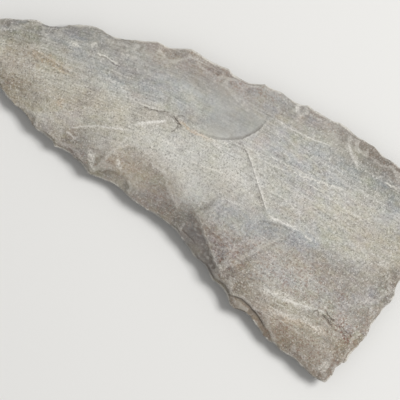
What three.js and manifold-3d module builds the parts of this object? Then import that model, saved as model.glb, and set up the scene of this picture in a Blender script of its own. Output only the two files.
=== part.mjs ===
// A large triangular knife blade, knapped on both faces from one piece of banded chert. Millimetres.
// It lies on its underside: +X runs from the point to the butt, +Y to the long bowed edge, +Z up.

import * as THREE from 'three';
import { mergeVertices } from 'three/addons/utils/BufferGeometryUtils.js';
import Module from 'manifold-3d';

const wasm = await Module();
wasm.setup();

// Driving dimensions

const bladeLength = 156;
const bladeWidth = 68.6;
const faceRise = 5.9; // shown face above the edge plane, at the thickest place
const undersideDrop = 4.8; // edge plane above the flat that the blade rests on
const flatDepth = 0.9; // how much lower the underside would swell without that flat
const blankMargin = 3; // stone that the blank has outside the finished outline
const blankEdgeThickness = 0.5;
const edgeWave = 0.7; // how far the edge swings up and down about its plane
const wavePitch = 37; // length of one such swing
const retouchPitch = 6; // one small chip to the next along the edge
const retouchRun = 3.8; // how far a chip runs in from the edge
const retouchBite = 0.24; // hollow of a chip below its chord
const retouchLip = 0.34; // half of the edge that the chips leave
const trimPitch = 13.5; // one broad trimming flake to the next
const trimRun = 11;
const trimBite = 0.3;
const trimLip = 0.6; // half of the edge that the trimming leaves
const steepReach = 30; // half of the stretch of the hollow edge where the shown face stands steep
const strikeOverhang = 2.4; // a scar's hollow starts this far outside the edge

// Outline, read round the blade in pixels of a 400-pixel photograph with y down.
// The point and the shoulder lie outside the picture and are carried on from the edges beside them.

const photoTilt = THREE.MathUtils.degToRad(32); // the blade's long axis falls to the right by this much

const longEdgePixels = [
  [-46, 26], [-38, 20.5], [-20, 18.5], [0, 19], [16, 19], [40, 21], [45, 23.5], [60, 24], [70, 26],
  [86, 26], [96, 27.5], [103, 29.5], [110, 34], [117, 38], [130, 39], [140, 41], [159, 42],
  [169, 48], [184, 49], [192, 50], [200, 55], [207, 60], [216, 64.5], [229, 70], [240, 79.5],
  [251, 82], [262, 83], [272, 89], [285, 94], [292, 100.5], [301, 105], [309, 106], [314, 111],
  [325, 117], [332, 121], [341, 123.5], [346, 128], [355, 135.5], [365, 140.5], [374.5, 145.5],
  [383, 156], [390, 158.5], [398, 167], [409, 172], [414, 179], [428, 186], [434, 195], [446, 203],
];
const buttEdgePixels = [
  [451, 212], [448, 219], [441, 224], [437, 233], [427, 243], [423, 252], [413, 262], [409, 271],
  [399, 283], [396.5, 292], [391, 302], [382, 311], [378, 320], [370, 326], [369, 332],
  [359, 345.5], [350, 354], [346, 362], [336, 367.5], [333, 373.5], [328, 380],
];
const hollowEdgePixels = [
  [325, 382], [320, 380.5], [310, 374], [295, 359], [280, 350], [275, 343.5], [265, 340],
  [261, 331], [256, 324], [249, 315], [237, 312], [229, 303], [227, 295], [215, 285], [209, 275],
  [205, 266.5], [197, 260], [190, 249], [181, 239], [177, 231], [166, 222.5], [156, 214.5],
  [145, 209], [133, 200.5], [122, 190], [113, 183.5], [101, 178], [90, 175], [84, 166], [75, 158],
  [65, 150], [55, 147], [51, 140], [43, 134], [33, 128], [29, 121], [18, 109], [14, 104], [7, 96],
  [0, 87], [-8, 77], [-13, 68], [-22, 58], [-28, 47], [-38, 36],
];

function turned([across, down]) {
  return new THREE.Vector2(across, -down).rotateAround(new THREE.Vector2(), photoTilt);
}

const turnedOutline = [...longEdgePixels, ...buttEdgePixels, ...hollowEdgePixels].map(turned).reverse();
const pixelFrame = new THREE.Box2().setFromPoints(turnedOutline);
const pixelSize = pixelFrame.getSize(new THREE.Vector2());
const planSize = new THREE.Vector2(bladeLength, bladeWidth);

function fromShare([lengthShare, widthShare]) {
  return new THREE.Vector2(lengthShare - 1 / 2, widthShare - 1 / 2).multiply(planSize);
}

function fromTurned(point) {
  const share = point.clone().sub(pixelFrame.min).divide(pixelSize);
  return fromShare([share.x, share.y]);
}

function fromPixel(pixel) {
  return fromTurned(turned(pixel));
}

const outline = turnedOutline.map(fromTurned);

// Swell of the two faces: a spine along the thickest places, with the share of the full swell at each

const spineShares = [
  { along: 0.07, across: 0.49, swell: 0.46 },
  { along: 0.18, across: 0.54, swell: 0.68 },
  { along: 0.3, across: 0.585, swell: 0.86 },
  { along: 0.45, across: 0.6, swell: 0.97 },
  { along: 0.6, across: 0.61, swell: 1 },
  { along: 0.75, across: 0.6, swell: 0.95 },
  { along: 0.86, across: 0.54, swell: 0.84 },
];
const ringShares = [0, 0.14, 0.34, 0.62, 1]; // of the way from the blank's edge to the spine
const blankStride = 2; // the blank follows every other point of the outline
const swellPower = 1.75; // the faces rise fast at the edge and level out inside
const steepSwellPower = 4; // and faster still above the steep stretch of the hollow edge
const steepMiddlePixel = [186, 244];
const easingPasses = 3; // each ring in from the edge loses more of the outline's corners
const spineSteps = 13; // the innermost ring of both sides meets on this many even steps of the spine

function spineAt(alongShare) {
  const last = spineShares.length - 1;
  const held = THREE.MathUtils.clamp(alongShare, spineShares[0].along, spineShares[last].along);
  const next = Math.max(1, spineShares.findIndex((stop) => stop.along >= held));
  const near = spineShares[next - 1];
  const far = spineShares[next];
  const part = (held - near.along) / (far.along - near.along);
  const across = THREE.MathUtils.lerp(near.across, far.across, part);
  return { place: fromShare([held, across]), swell: THREE.MathUtils.lerp(near.swell, far.swell, part) };
}

function steppedShare(alongShare) {
  const start = spineShares[0].along;
  const span = spineShares.at(-1).along - start;
  return start + (Math.round(((alongShare - start) / span) * spineSteps) / spineSteps) * span;
}

function outset(points, distance) {
  return points.map((point, i) => {
    const along = points[(i + 1) % points.length].clone().sub(points.at(i - 1)).normalize();
    return point.clone().addScaledVector(new THREE.Vector2(along.y, -along.x), distance);
  });
}

function eased(points) {
  return points.map((point, i) => {
    const before = points.at(i - 1);
    const after = points[(i + 1) % points.length];
    return before.clone().add(after).add(point).add(point).divideScalar(4);
  });
}

const edgePath = new THREE.Shape(outline).closePath();
const edgeLength = edgePath.getLength();
const walked = [0];
for (let i = 1; i < outline.length; i += 1) {
  walked.push(walked[i - 1] + outline[i].distanceTo(outline[i - 1]));
}

function edgeLevelAt(distance) {
  const swings = Math.round(edgeLength / wavePitch);
  const turn = (2 * Math.PI * distance) / edgeLength;
  return undersideDrop + edgeWave * (Math.sin(swings * turn) + Math.sin((2 * swings + 1) * turn)) / 2;
}

function swellPowerAt(plan, side) {
  const away = plan.distanceTo(fromPixel(steepMiddlePixel)) / steepReach;
  const nearness = side > 0 ? Math.exp(-(away ** 2)) : 0;
  return THREE.MathUtils.lerp(swellPower, steepSwellPower, nearness);
}

// One face as rings of points, from the edge in to the spine. side is 1 above the edge and -1 below it.
function faceRings(side, fullSwell) {
  let base = outset(outline.filter((point, i) => i % blankStride === 0), blankMargin);
  return ringShares.map((share) => {
    const ring = base.map((point, i) => {
      const alongShare = point.x / bladeLength + 1 / 2;
      const spine = spineAt(share < 1 ? alongShare : steppedShare(alongShare));
      const risen = 1 - (1 - share) ** swellPowerAt(point, side);
      const level = THREE.MathUtils.lerp(edgeLevelAt(walked[i * blankStride]), undersideDrop, risen);
      const offset = THREE.MathUtils.lerp(blankEdgeThickness / 2, fullSwell * spine.swell, risen);
      const plan = point.clone().lerp(spine.place, share);
      return new THREE.Vector3(plan.x, plan.y, level + side * offset);
    });
    for (let pass = 0; pass < easingPasses; pass += 1) base = eased(base);
    return ring;
  });
}

// A closed skin over a stack of rings, each counterclockwise from above, the lowest first. The first and
// last rings lie folded along the spine, where their points meet and the faces between them close up.
function skin(rings) {
  const count = rings[0].length;
  const index = [];
  for (let level = 0; level < rings.length - 1; level += 1) {
    for (let i = 0; i < count; i += 1) {
      const low = level * count + i;
      const lowNext = level * count + ((i + 1) % count);
      index.push(low, lowNext, lowNext + count, low, lowNext + count, low + count);
    }
  }
  const geometry = new THREE.BufferGeometry().setFromPoints(rings.flat());
  geometry.setIndex(index);
  const merged = mergeVertices(geometry);
  const corners = Array.from(merged.getIndex().array);
  const kept = [];
  for (let i = 0; i < corners.length; i += 3) {
    const [a, b, c] = corners.slice(i, i + 3);
    if (a !== b && b !== c && c !== a) kept.push(a, b, c);
  }
  merged.setIndex(kept);
  return merged;
}

const undersideRings = faceRings(-1, undersideDrop + flatDepth).reverse();
const blank = skin([...undersideRings, ...faceRings(1, faceRise)]);

// Where the blank's faces lie, for setting the scars on them

const blankMesh = new THREE.Mesh(blank, new THREE.MeshStandardMaterial({ side: THREE.DoubleSide }));
const farOff = 2 * (faceRise + undersideDrop + flatDepth);

function faceLevel(plan, side) {
  const start = new THREE.Vector3(plan.x, plan.y, undersideDrop + side * farOff);
  const ray = new THREE.Raycaster(start, new THREE.Vector3(0, 0, -side));
  const [hit] = ray.intersectObject(blankMesh);
  return hit ? hit.point.z : undersideDrop;
}

// Scars: each is a bowl pressed in along a chord from where the flake was struck to where it ran out.
// A bowl with a high rim power has a level floor and a steep rim, as a flake that broke off short leaves.
// The chord starts at the edge, or further up where the scar follows the swell of the face.

const chordShare = 0.6; // height of the chord in the bowl
const featheredPower = 2;
const brokenPower = 3.4;

function bowl(length, width, bite, rimPower, sides, arcSteps) {
  const depth = bite / (1 - chordShare);
  const spread = (1 - chordShare ** rimPower) ** (1 / rimPower);
  const profile = [];
  for (let step = 0; step <= arcSteps; step += 1) {
    const angle = (Math.PI / 2) * (step / arcSteps);
    const radius = Math.sin(angle) ** (2 / rimPower);
    profile.push(new THREE.Vector2(radius, -depth * Math.cos(angle) ** (2 / rimPower)));
  }
  profile[0].x = 0;
  profile[arcSteps].y = 0;
  profile.push(new THREE.Vector2(1, farOff), new THREE.Vector2(0, farOff));
  const geometry = new THREE.LatheGeometry(profile, sides);
  geometry.rotateX(Math.PI / 2);
  geometry.scale(length / 2 / spread, width / 2 / spread, 1);
  geometry.translate(0, 0, chordShare * depth);
  return geometry;
}

function solidOf(source) {
  const geometry = source.clone();
  geometry.deleteAttribute('normal');
  geometry.deleteAttribute('uv');
  const merged = mergeVertices(geometry);
  return new wasm.Manifold(new wasm.Mesh({
    numProp: 3,
    vertProperties: new Float32Array(merged.getAttribute('position').array),
    triVerts: new Uint32Array(merged.getIndex().array),
  }));
}

function scar(struck, end, side, width, bite, rimPower, sides, arcSteps) {
  const run = end.clone().sub(struck);
  const alongAxis = run.clone().normalize();
  const outward = new THREE.Vector3(0, 0, side);
  const acrossAxis = outward.cross(alongAxis).normalize();
  const upAxis = alongAxis.clone().cross(acrossAxis);
  const geometry = bowl(run.length(), width, bite, rimPower, sides, arcSteps);
  geometry.applyMatrix4(new THREE.Matrix4().makeBasis(alongAxis, acrossAxis, upAxis));
  const middle = struck.clone().add(end).divideScalar(2);
  geometry.translate(middle.x, middle.y, middle.z);
  return solidOf(geometry);
}

// Flakes of the shown face: the pixel outside the edge where each was struck and the pixel where it
// ran out, then its width and bite as shares of the blade's width and face rise. A thinning flake mostly
// follows the face's swell, and a steep one cuts straight up from the edge.

const thinned = { rimPower: featheredPower, followShare: 0.85 };
const hinged = { rimPower: brokenPower, followShare: 0.85 };
const curved = { rimPower: featheredPower, followShare: 0.5 };
const steep = { rimPower: featheredPower, followShare: 0 };
const stepped = { rimPower: brokenPower, followShare: 0 };

const shownScars = [
  { struck: [-28, 4], end: [8, 58], widthShare: 0.26, biteShare: 0.02, kind: thinned },
  { struck: [38, 6], end: [58, 110], widthShare: 0.36, biteShare: 0.022, kind: thinned },
  { struck: [98, 10], end: [100, 128], widthShare: 0.42, biteShare: 0.025, kind: thinned },
  { struck: [168, 24], end: [156, 126], widthShare: 0.46, biteShare: 0.022, kind: thinned },
  { struck: [254, 50], end: [226, 142], widthShare: 0.37, biteShare: 0.045, kind: hinged },
  { struck: [354, 104], end: [296, 200], widthShare: 0.5, biteShare: 0.022, kind: thinned },
  { struck: [412, 155], end: [338, 240], widthShare: 0.52, biteShare: 0.022, kind: thinned },
  { struck: [460, 236], end: [346, 224], widthShare: 0.46, biteShare: 0.022, kind: thinned },
  { struck: [430, 284], end: [312, 252], widthShare: 0.48, biteShare: 0.025, kind: thinned },
  { struck: [390, 344], end: [292, 276], widthShare: 0.48, biteShare: 0.025, kind: thinned },
  { struck: [346, 390], end: [318, 306], widthShare: 0.36, biteShare: 0.025, kind: thinned },
  { struck: [-16, 88], end: [28, 54], widthShare: 0.24, biteShare: 0.02, kind: thinned },
  { struck: [24, 140], end: [76, 92], widthShare: 0.32, biteShare: 0.025, kind: thinned },
  { struck: [66, 176], end: [112, 116], widthShare: 0.34, biteShare: 0.03, kind: thinned },
  { struck: [110, 214], end: [160, 146], widthShare: 0.38, biteShare: 0.05, kind: curved },
  { struck: [158, 214], end: [254, 184], widthShare: 0.46, biteShare: 0.025, kind: thinned },
  { struck: [242, 322], end: [284, 222], widthShare: 0.38, biteShare: 0.03, kind: hinged },
  { struck: [296, 372], end: [302, 272], widthShare: 0.42, biteShare: 0.025, kind: thinned },
  { struck: [142, 232], end: [182, 192], widthShare: 0.22, biteShare: 0.06, kind: steep },
  { struck: [162, 252], end: [198, 212], widthShare: 0.2, biteShare: 0.07, kind: steep },
  { struck: [180, 270], end: [207, 238], widthShare: 0.18, biteShare: 0.08, kind: steep },
  { struck: [196, 288], end: [217, 260], widthShare: 0.18, biteShare: 0.08, kind: steep },
  { struck: [224, 322], end: [254, 292], widthShare: 0.15, biteShare: 0.09, kind: stepped },
];
const broadSides = 16;
const broadArcSteps = 3;

function chordStart(struck, end, side, edgeLevel, followShare) {
  const middle = struck.clone().add(end).divideScalar(2);
  const followed = 2 * faceLevel(middle, side) - faceLevel(end, side);
  return THREE.MathUtils.lerp(edgeLevel, followed, followShare);
}

function shownScarSolid(row) {
  const struck = fromPixel(row.struck);
  const end = fromPixel(row.end);
  const { rimPower, followShare } = row.kind;
  const startLevel = chordStart(struck, end, 1, undersideDrop + retouchLip, followShare);
  const start = new THREE.Vector3(struck.x, struck.y, startLevel);
  const finish = new THREE.Vector3(end.x, end.y, faceLevel(end, 1));
  const width = row.widthShare * bladeWidth;
  return scar(start, finish, 1, width, row.biteShare * faceRise, rimPower, broadSides, broadArcSteps);
}

// Flakes of the underside, placed by shares of the length and width from the corner under the point.
// They stop short of the middle, where a flat of the stone's natural bed is left.

const undersideFollowShare = 0.7;
const undersideScars = [
  { struckShares: [0.05, 0.7], endShares: [0.11, 0.47], widthShare: 0.22, biteShare: 0.06 },
  { struckShares: [0.18, 0.83], endShares: [0.22, 0.48], widthShare: 0.34, biteShare: 0.08 },
  { struckShares: [0.34, 0.96], endShares: [0.36, 0.6], widthShare: 0.38, biteShare: 0.09 },
  { struckShares: [0.52, 1.03], endShares: [0.52, 0.69], widthShare: 0.4, biteShare: 0.09 },
  { struckShares: [0.71, 1.07], endShares: [0.68, 0.7], widthShare: 0.42, biteShare: 0.09 },
  { struckShares: [0.9, 1.06], endShares: [0.82, 0.68], widthShare: 0.38, biteShare: 0.09 },
  { struckShares: [1.05, 0.76], endShares: [0.84, 0.58], widthShare: 0.38, biteShare: 0.09 },
  { struckShares: [1.05, 0.42], endShares: [0.81, 0.46], widthShare: 0.42, biteShare: 0.09 },
  { struckShares: [1.0, 0.02], endShares: [0.82, 0.34], widthShare: 0.36, biteShare: 0.09 },
  { struckShares: [0.8, -0.05], endShares: [0.73, 0.36], widthShare: 0.38, biteShare: 0.09 },
  { struckShares: [0.6, 0.08], endShares: [0.58, 0.44], widthShare: 0.36, biteShare: 0.09 },
  { struckShares: [0.42, 0.15], endShares: [0.44, 0.47], widthShare: 0.34, biteShare: 0.09 },
  { struckShares: [0.27, 0.17], endShares: [0.3, 0.5], widthShare: 0.3, biteShare: 0.08 },
  { struckShares: [0.12, 0.27], endShares: [0.17, 0.5], widthShare: 0.22, biteShare: 0.06 },
];

function undersideScarSolid({ struckShares, endShares, widthShare, biteShare }) {
  const struck = fromShare(struckShares);
  const end = fromShare(endShares);
  const startLevel = chordStart(struck, end, -1, undersideDrop - retouchLip, undersideFollowShare);
  const start = new THREE.Vector3(struck.x, struck.y, startLevel);
  const finish = new THREE.Vector3(end.x, end.y, faceLevel(end, -1));
  const width = widthShare * bladeWidth;
  const bite = biteShare * undersideDrop;
  return scar(start, finish, -1, width, bite, featheredPower, broadSides, broadArcSteps);
}

// Trimming flakes and retouch chips follow the edge all round on both faces. Their sizes go through
// the hand-chosen shares in turn, so that no two neighbours are alike.

const runShares = [1, 0.7, 1.25, 0.85, 1.4, 0.75, 1.1];
const shiftShares = [0, 0.22, -0.18, 0.1, -0.26, 0.16, -0.08, 0.2, -0.12];
const widthShares = [1.1, 1.35, 1, 1.25, 1.15];
const trimSides = 10;
const chipSides = 8;
const edgeArcSteps = 2;
const reachShare = 0.7; // of the way to the spine, the most that a flake struck along the edge runs

function edgeScars(side, pitch, run, bite, lip, sides) {
  const count = Math.round(edgeLength / pitch);
  const step = edgeLength / count;
  const solids = [];
  for (let i = 0; i < count; i += 1) {
    const turn = side > 0 ? i : i + 1 / 2;
    const distance = (turn + shiftShares[i % shiftShares.length]) * step;
    const share = ((distance / edgeLength) % 1 + 1) % 1;
    const halfStepShare = step / 2 / edgeLength;
    const edgePoint = edgePath.getPoint(share);
    const before = edgePath.getPoint((share - halfStepShare + 1) % 1);
    const after = edgePath.getPoint((share + halfStepShare) % 1);
    const along = after.sub(before).normalize();
    const inward = new THREE.Vector2(-along.y, along.x);
    const reach = reachShare * edgePoint.distanceTo(spineAt(edgePoint.x / bladeLength + 1 / 2).place);
    const runHere = Math.min(run * runShares[i % runShares.length], reach);
    const struck = edgePoint.clone().addScaledVector(inward, -strikeOverhang);
    const end = edgePoint.clone().addScaledVector(inward, runHere);
    const edgeLevel = edgeLevelAt(share * edgeLength) + side * lip;
    const endLevel = faceLevel(end, side);
    const rise = (endLevel - edgeLevel) * (strikeOverhang / edgePoint.distanceTo(end));
    const start = new THREE.Vector3(struck.x, struck.y, edgeLevel - rise + side * bite);
    const finish = new THREE.Vector3(end.x, end.y, endLevel);
    const width = step * widthShares[i % widthShares.length];
    solids.push(scar(start, finish, side, width, bite, featheredPower, sides, edgeArcSteps));
  }
  return solids;
}

// The blade

const bedSlab = new THREE.BoxGeometry(2 * bladeLength, 2 * bladeWidth, farOff);
bedSlab.translate(0, 0, -farOff / 2);

const cuts = [
  solidOf(bedSlab),
  ...shownScars.map(shownScarSolid),
  ...undersideScars.map(undersideScarSolid),
  ...edgeScars(1, trimPitch, trimRun, trimBite, trimLip, trimSides),
  ...edgeScars(-1, trimPitch, trimRun, trimBite, trimLip, trimSides),
  ...edgeScars(1, retouchPitch, retouchRun, retouchBite, retouchLip, chipSides),
  ...edgeScars(-1, retouchPitch, retouchRun, retouchBite, retouchLip, chipSides),
];

const planRise = { depth: 2 * farOff, bevelEnabled: false };
const plan = new THREE.ExtrudeGeometry(new THREE.Shape(outline), planRise);
plan.translate(0, 0, -farOff);

let knapped = solidOf(blank).intersect(solidOf(plan));
for (const cut of cuts) knapped = knapped.subtract(cut);

function geometryOf(solid) {
  const mesh = solid.getMesh();
  const geometry = new THREE.BufferGeometry();
  geometry.setAttribute('position', new THREE.BufferAttribute(mesh.vertProperties, 3));
  geometry.setIndex(new THREE.BufferAttribute(mesh.triVerts, 1));
  geometry.computeBoundingBox();
  const centre = geometry.boundingBox.getCenter(new THREE.Vector3());
  geometry.translate(-centre.x, -centre.y, -geometry.boundingBox.min.z);
  geometry.computeVertexNormals();
  return geometry;
}

const chert = new THREE.MeshStandardMaterial({ color: '#a8a49b', roughness: 0.82, metalness: 0 });
const blade = new THREE.Mesh(geometryOf(knapped), chert);
blade.name = 'chert_blade';

const knife = new THREE.Group();
knife.add(blade);

export default knife;
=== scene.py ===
"""A large triangular knife blade of banded chert, knapped on both faces and lying on its underside."""

import math

import bmesh
import bpy
import numpy as np
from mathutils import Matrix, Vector, kdtree, noise


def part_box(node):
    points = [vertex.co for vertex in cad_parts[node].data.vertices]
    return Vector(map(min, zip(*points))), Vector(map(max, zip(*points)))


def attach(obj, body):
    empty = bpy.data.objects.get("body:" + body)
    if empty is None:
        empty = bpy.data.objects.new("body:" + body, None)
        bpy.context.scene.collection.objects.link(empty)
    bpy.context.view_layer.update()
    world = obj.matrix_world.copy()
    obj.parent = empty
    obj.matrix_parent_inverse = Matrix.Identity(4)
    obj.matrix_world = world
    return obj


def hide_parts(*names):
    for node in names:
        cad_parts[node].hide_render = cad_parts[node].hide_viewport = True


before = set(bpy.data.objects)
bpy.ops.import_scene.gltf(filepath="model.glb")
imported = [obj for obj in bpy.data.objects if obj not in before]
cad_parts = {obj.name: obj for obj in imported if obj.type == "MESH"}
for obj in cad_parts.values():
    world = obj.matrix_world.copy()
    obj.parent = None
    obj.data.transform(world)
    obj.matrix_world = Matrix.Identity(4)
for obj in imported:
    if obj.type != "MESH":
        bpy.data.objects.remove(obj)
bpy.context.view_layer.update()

MM = 0.001
luck = np.random.RandomState(seed=11)

# Photograph's frame: the places on the blade that are read from it, in its 400 pixels, y down

photo_side = 400
photo_tilt = math.radians(32)  # of the blade's long axis
outermost_pixels = [(-46, 26), (448, 219), (320, 380.5), (341, 123.5)]  # point, butt and both edges
blade_low, blade_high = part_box("chert_blade")
blade_size = blade_high - blade_low
edge_level = 4.8 * MM  # the blade's edge above what it lies on


def turned(pixel):
    """A pixel of the photograph, turned so that the blade's long axis lies along x."""
    across, down = pixel
    cos, sin = math.cos(photo_tilt), math.sin(photo_tilt)
    return across * cos + down * sin, across * sin - down * cos


turned_outermost = [turned(pixel) for pixel in outermost_pixels]
pixel_low = [min(place[axis] for place in turned_outermost) for axis in (0, 1)]
pixel_high = [max(place[axis] for place in turned_outermost) for axis in (0, 1)]
pixel_step = blade_size.x / (pixel_high[0] - pixel_low[0])


def on_blade(pixel):
    """The place on the blade, in metres, that a pixel of the photograph shows."""
    place = turned(pixel)
    shares = [(place[axis] - pixel_low[axis]) / (pixel_high[axis] - pixel_low[axis]) for axis in (0, 1)]
    return blade_low.x + shares[0] * blade_size.x, blade_low.y + shares[1] * blade_size.y


# What the shown face carries, as lines of pixels. Each row is the line, then sizes in millimetres and
# strengths

# An arris stands between two flake scars: its line, rise, reach to each side, width of its rubbed
# crest and how pale that is
arrises = [
    ([(242, 143), (247, 153), (252, 167), (256, 182), (260, 193), (263, 203), (267, 214)],
     0.34, 1.3, 0.2, 0),
    ([(267, 214), (272, 218), (281, 222), (291, 227), (302, 232)], 0.13, 1.4, 0.32, 0.75),
    ([(304, 235), (312, 241)], 0.06, 1, 0.3, 0.6),
    ([(64, 128), (80, 127), (96, 126), (104, 127), (116, 129), (134, 131)], 0.16, 1.4, 0.2, 0.45),
    ([(134, 125), (140, 124), (148, 122.5), (158, 122), (169, 120.5)], 0.2, 1.2, 0.45, 0.75),
    ([(93, 173), (100, 164), (108, 156), (120, 145), (135, 133)], 0.13, 1.6, 0.4, 0.14),
    ([(66, 131), (77, 140)], 0.14, 0.9, 0.2, 0.45),
    ([(210, 141), (217, 146), (222, 152), (224, 162)], 0.08, 1.1, 0.18, 0.45),
    ([(269, 119), (275, 119), (280, 122), (290, 129), (313, 140), (331, 146)], 0.1, 1.3, 0.2, 0.45),
    ([(347, 142), (351, 154), (358, 170)], 0.1, 1.4, 0.35, 0.35),
    ([(353, 158), (361, 163)], 0.05, 0.8, 0.3, 0.3),
    ([(301, 103), (295, 113)], 0.08, 1, 0.8, 0.35),
    ([(276, 297), (288, 301), (298, 304), (308, 306), (318, 310), (330, 315)], 0.08, 0.9, 0.34, 0.4),
]

# A shoulder stands above a flake that fell away to the edge: its line, with the flake on the left as
# it runs, the height, how far it reaches inwards and outwards, then how slate-blue and how tan the
# flake's own surface is, the slate darkened further by painted shade on the bared facet
shoulders = [
    ([(223, 279), (218, 271), (212, 257), (208, 243), (203, 231), (201, 222), (195, 213)],
     1.25, 8, 30, 1.3, 0),
    ([(232, 292), (226, 283), (218, 271), (212, 257), (209, 248)], 0.45, 6, 30, 0.6, 0),
    ([(180, 219), (172, 195), (165, 177), (157, 165), (147, 155),
      (136, 146), (122, 144), (108, 156), (95, 173)],
     0.45, 5, 3.5, 0, 0.65),
]

# A scarp ends a flake that broke off short: its line, with the low ground on the left as it runs,
# the drop at the line, how far the low ground reaches, how smooth it is, how dark its foot, painted
# as shade in the crease with some dirt, and how pale its lip, painted as a highlight with some wear
scarps = [
    ([(196, 132), (207, 137), (220, 141), (232, 140), (242, 139),
      (249, 136), (257, 131), (262, 127), (268, 119)],
     0.16, 13, 0.8, 0.25, 0.25),
    ([(183, 128), (174, 116), (160, 112), (146, 108)], 0.1, 3, 0, 0.25, 0.1),
    ([(266, 328), (258, 316), (253, 309), (246, 302), (240, 297), (228, 295)], 0.45, 3.2, 0.7, 0.9, 0.1),
    ([(304, 232), (282, 225), (266, 220), (254, 220)], 0.1, 8, 0, 0.05, 0),
    ([(78, 76), (60, 66), (46, 57), (34, 50)], 0.08, 4, 0, 0.1, 0.1),
    ([(267, 214), (263, 203), (260, 193), (256, 182), (252, 167), (247, 153), (242, 143)],
     0.15, 5, 0, 0.6, 0.5),
]

# A crack is an open line in the stone: its line, depth, width and how dark it is
cracks = [
    ([(228, 140), (242, 139), (249, 136), (257, 131), (263, 126)], 0.02, 0.22, 0.5),
    ([(312, 316), (313, 312), (316, 310), (318, 313), (316, 317)], 0.05, 0.18, 0.7),
    ([(320, 316), (324, 317), (328, 320), (332, 326)], 0.14, 0.38, 1),
    ([(324, 312), (329, 315), (334, 322)], 0.1, 0.32, 1),
    ([(334, 323), (339, 327), (343, 334), (348, 341)], 0.06, 0.2, 0.7),
    ([(338, 324), (345, 330), (352, 338)], 0.06, 0.18, 0.6),
    ([(331, 345), (337, 353), (338, 360)], 0.05, 0.12, 0.4),
    ([(173, 115), (176, 120), (180, 124), (182, 128)], 0.12, 0.17, 0.9),
    ([(182, 126), (176, 129), (170, 132)], 0.08, 0.13, 0.6),
    ([(140, 107), (152, 110), (163, 112), (173, 115)], 0.06, 0.16, 0.6),
    ([(175, 118), (180, 116), (185, 118)], 0.05, 0.13, 0.6),
    ([(178, 123), (177, 128), (173, 131)], 0.05, 0.13, 0.5),
    ([(181, 229), (186, 234), (191, 239), (195, 243)], 0.06, 0.22, 0.4),
    ([(99, 55), (110, 62), (122, 69)], 0.03, 0.16, 0.5),
]

# A vein is a paler or stained line in the stone itself: its line, width and strength
pale_veins = [
    ([(257, 288), (265, 290), (275, 294), (288, 299), (300, 303), (314, 309)], 1.2, 0.85),
    ([(280, 294), (296, 298), (310, 303)], 0.25, 0.7),
    ([(268, 309), (284, 314), (300, 319), (317, 328), (329, 335)], 1.1, 0.7),
    ([(70, 41), (80, 47)], 0.9, 1),
    ([(91, 45), (98, 46)], 0.7, 0.7),
    ([(97, 52), (110, 60), (121, 66)], 0.25, 1),
    ([(118, 94), (130, 99), (146, 106), (160, 110)], 0.3, 0.8),
    ([(88, 150), (94, 165)], 0.7, 0.8),
    ([(118, 158), (121, 170)], 0.6, 0.8),
    ([(90, 158), (94, 172)], 0.35, 0.7),
    ([(319, 364), (326, 371)], 1.6, 0.6),
    ([(128, 48), (129, 60)], 1.5, 0.5),
    ([(286, 171), (304, 176), (320, 183), (346, 191)], 0.34, 0.8),
    ([(257, 158), (272, 166), (286, 171)], 0.22, 0.6),
    ([(384, 182), (400, 190)], 0.35, 0.8),
    ([(253, 150), (290, 166), (318, 180)], 0.2, 0.5),
    ([(185, 160), (205, 167), (222, 173), (248, 184)], 0.22, 0.6),
    ([(160, 140), (182, 150), (204, 154)], 0.25, 0.6),
    ([(216, 198), (230, 200), (247, 208)], 0.3, 0.6),
    ([(266, 186), (285, 200), (306, 222)], 0.22, 0.7),
    ([(300, 178), (340, 205), (372, 228)], 0.22, 0.6),
    ([(223, 143), (229, 145)], 0.5, 0.9),
    ([(255, 176), (258, 183)], 0.4, 1),
    ([(106, 79), (117, 84), (128, 91)], 0.6, 0.5),
    ([(296, 105), (301, 112)], 0.9, 0.4),
]
ochre_veins = [
    ([(176, 117), (181, 122), (187, 129), (196, 134), (208, 138.5), (214, 141)], 0.4, 0.7),
    ([(30, 48), (44, 57), (58, 66), (72, 76)], 1.2, 0.45),
    ([(36, 53), (47, 59), (57, 66)], 0.35, 0.5),
    ([(272, 312), (300, 322), (331, 334)], 1, 0.5),
    ([(60, 98), (62, 110)], 0.7, 0.4),
]

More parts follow.
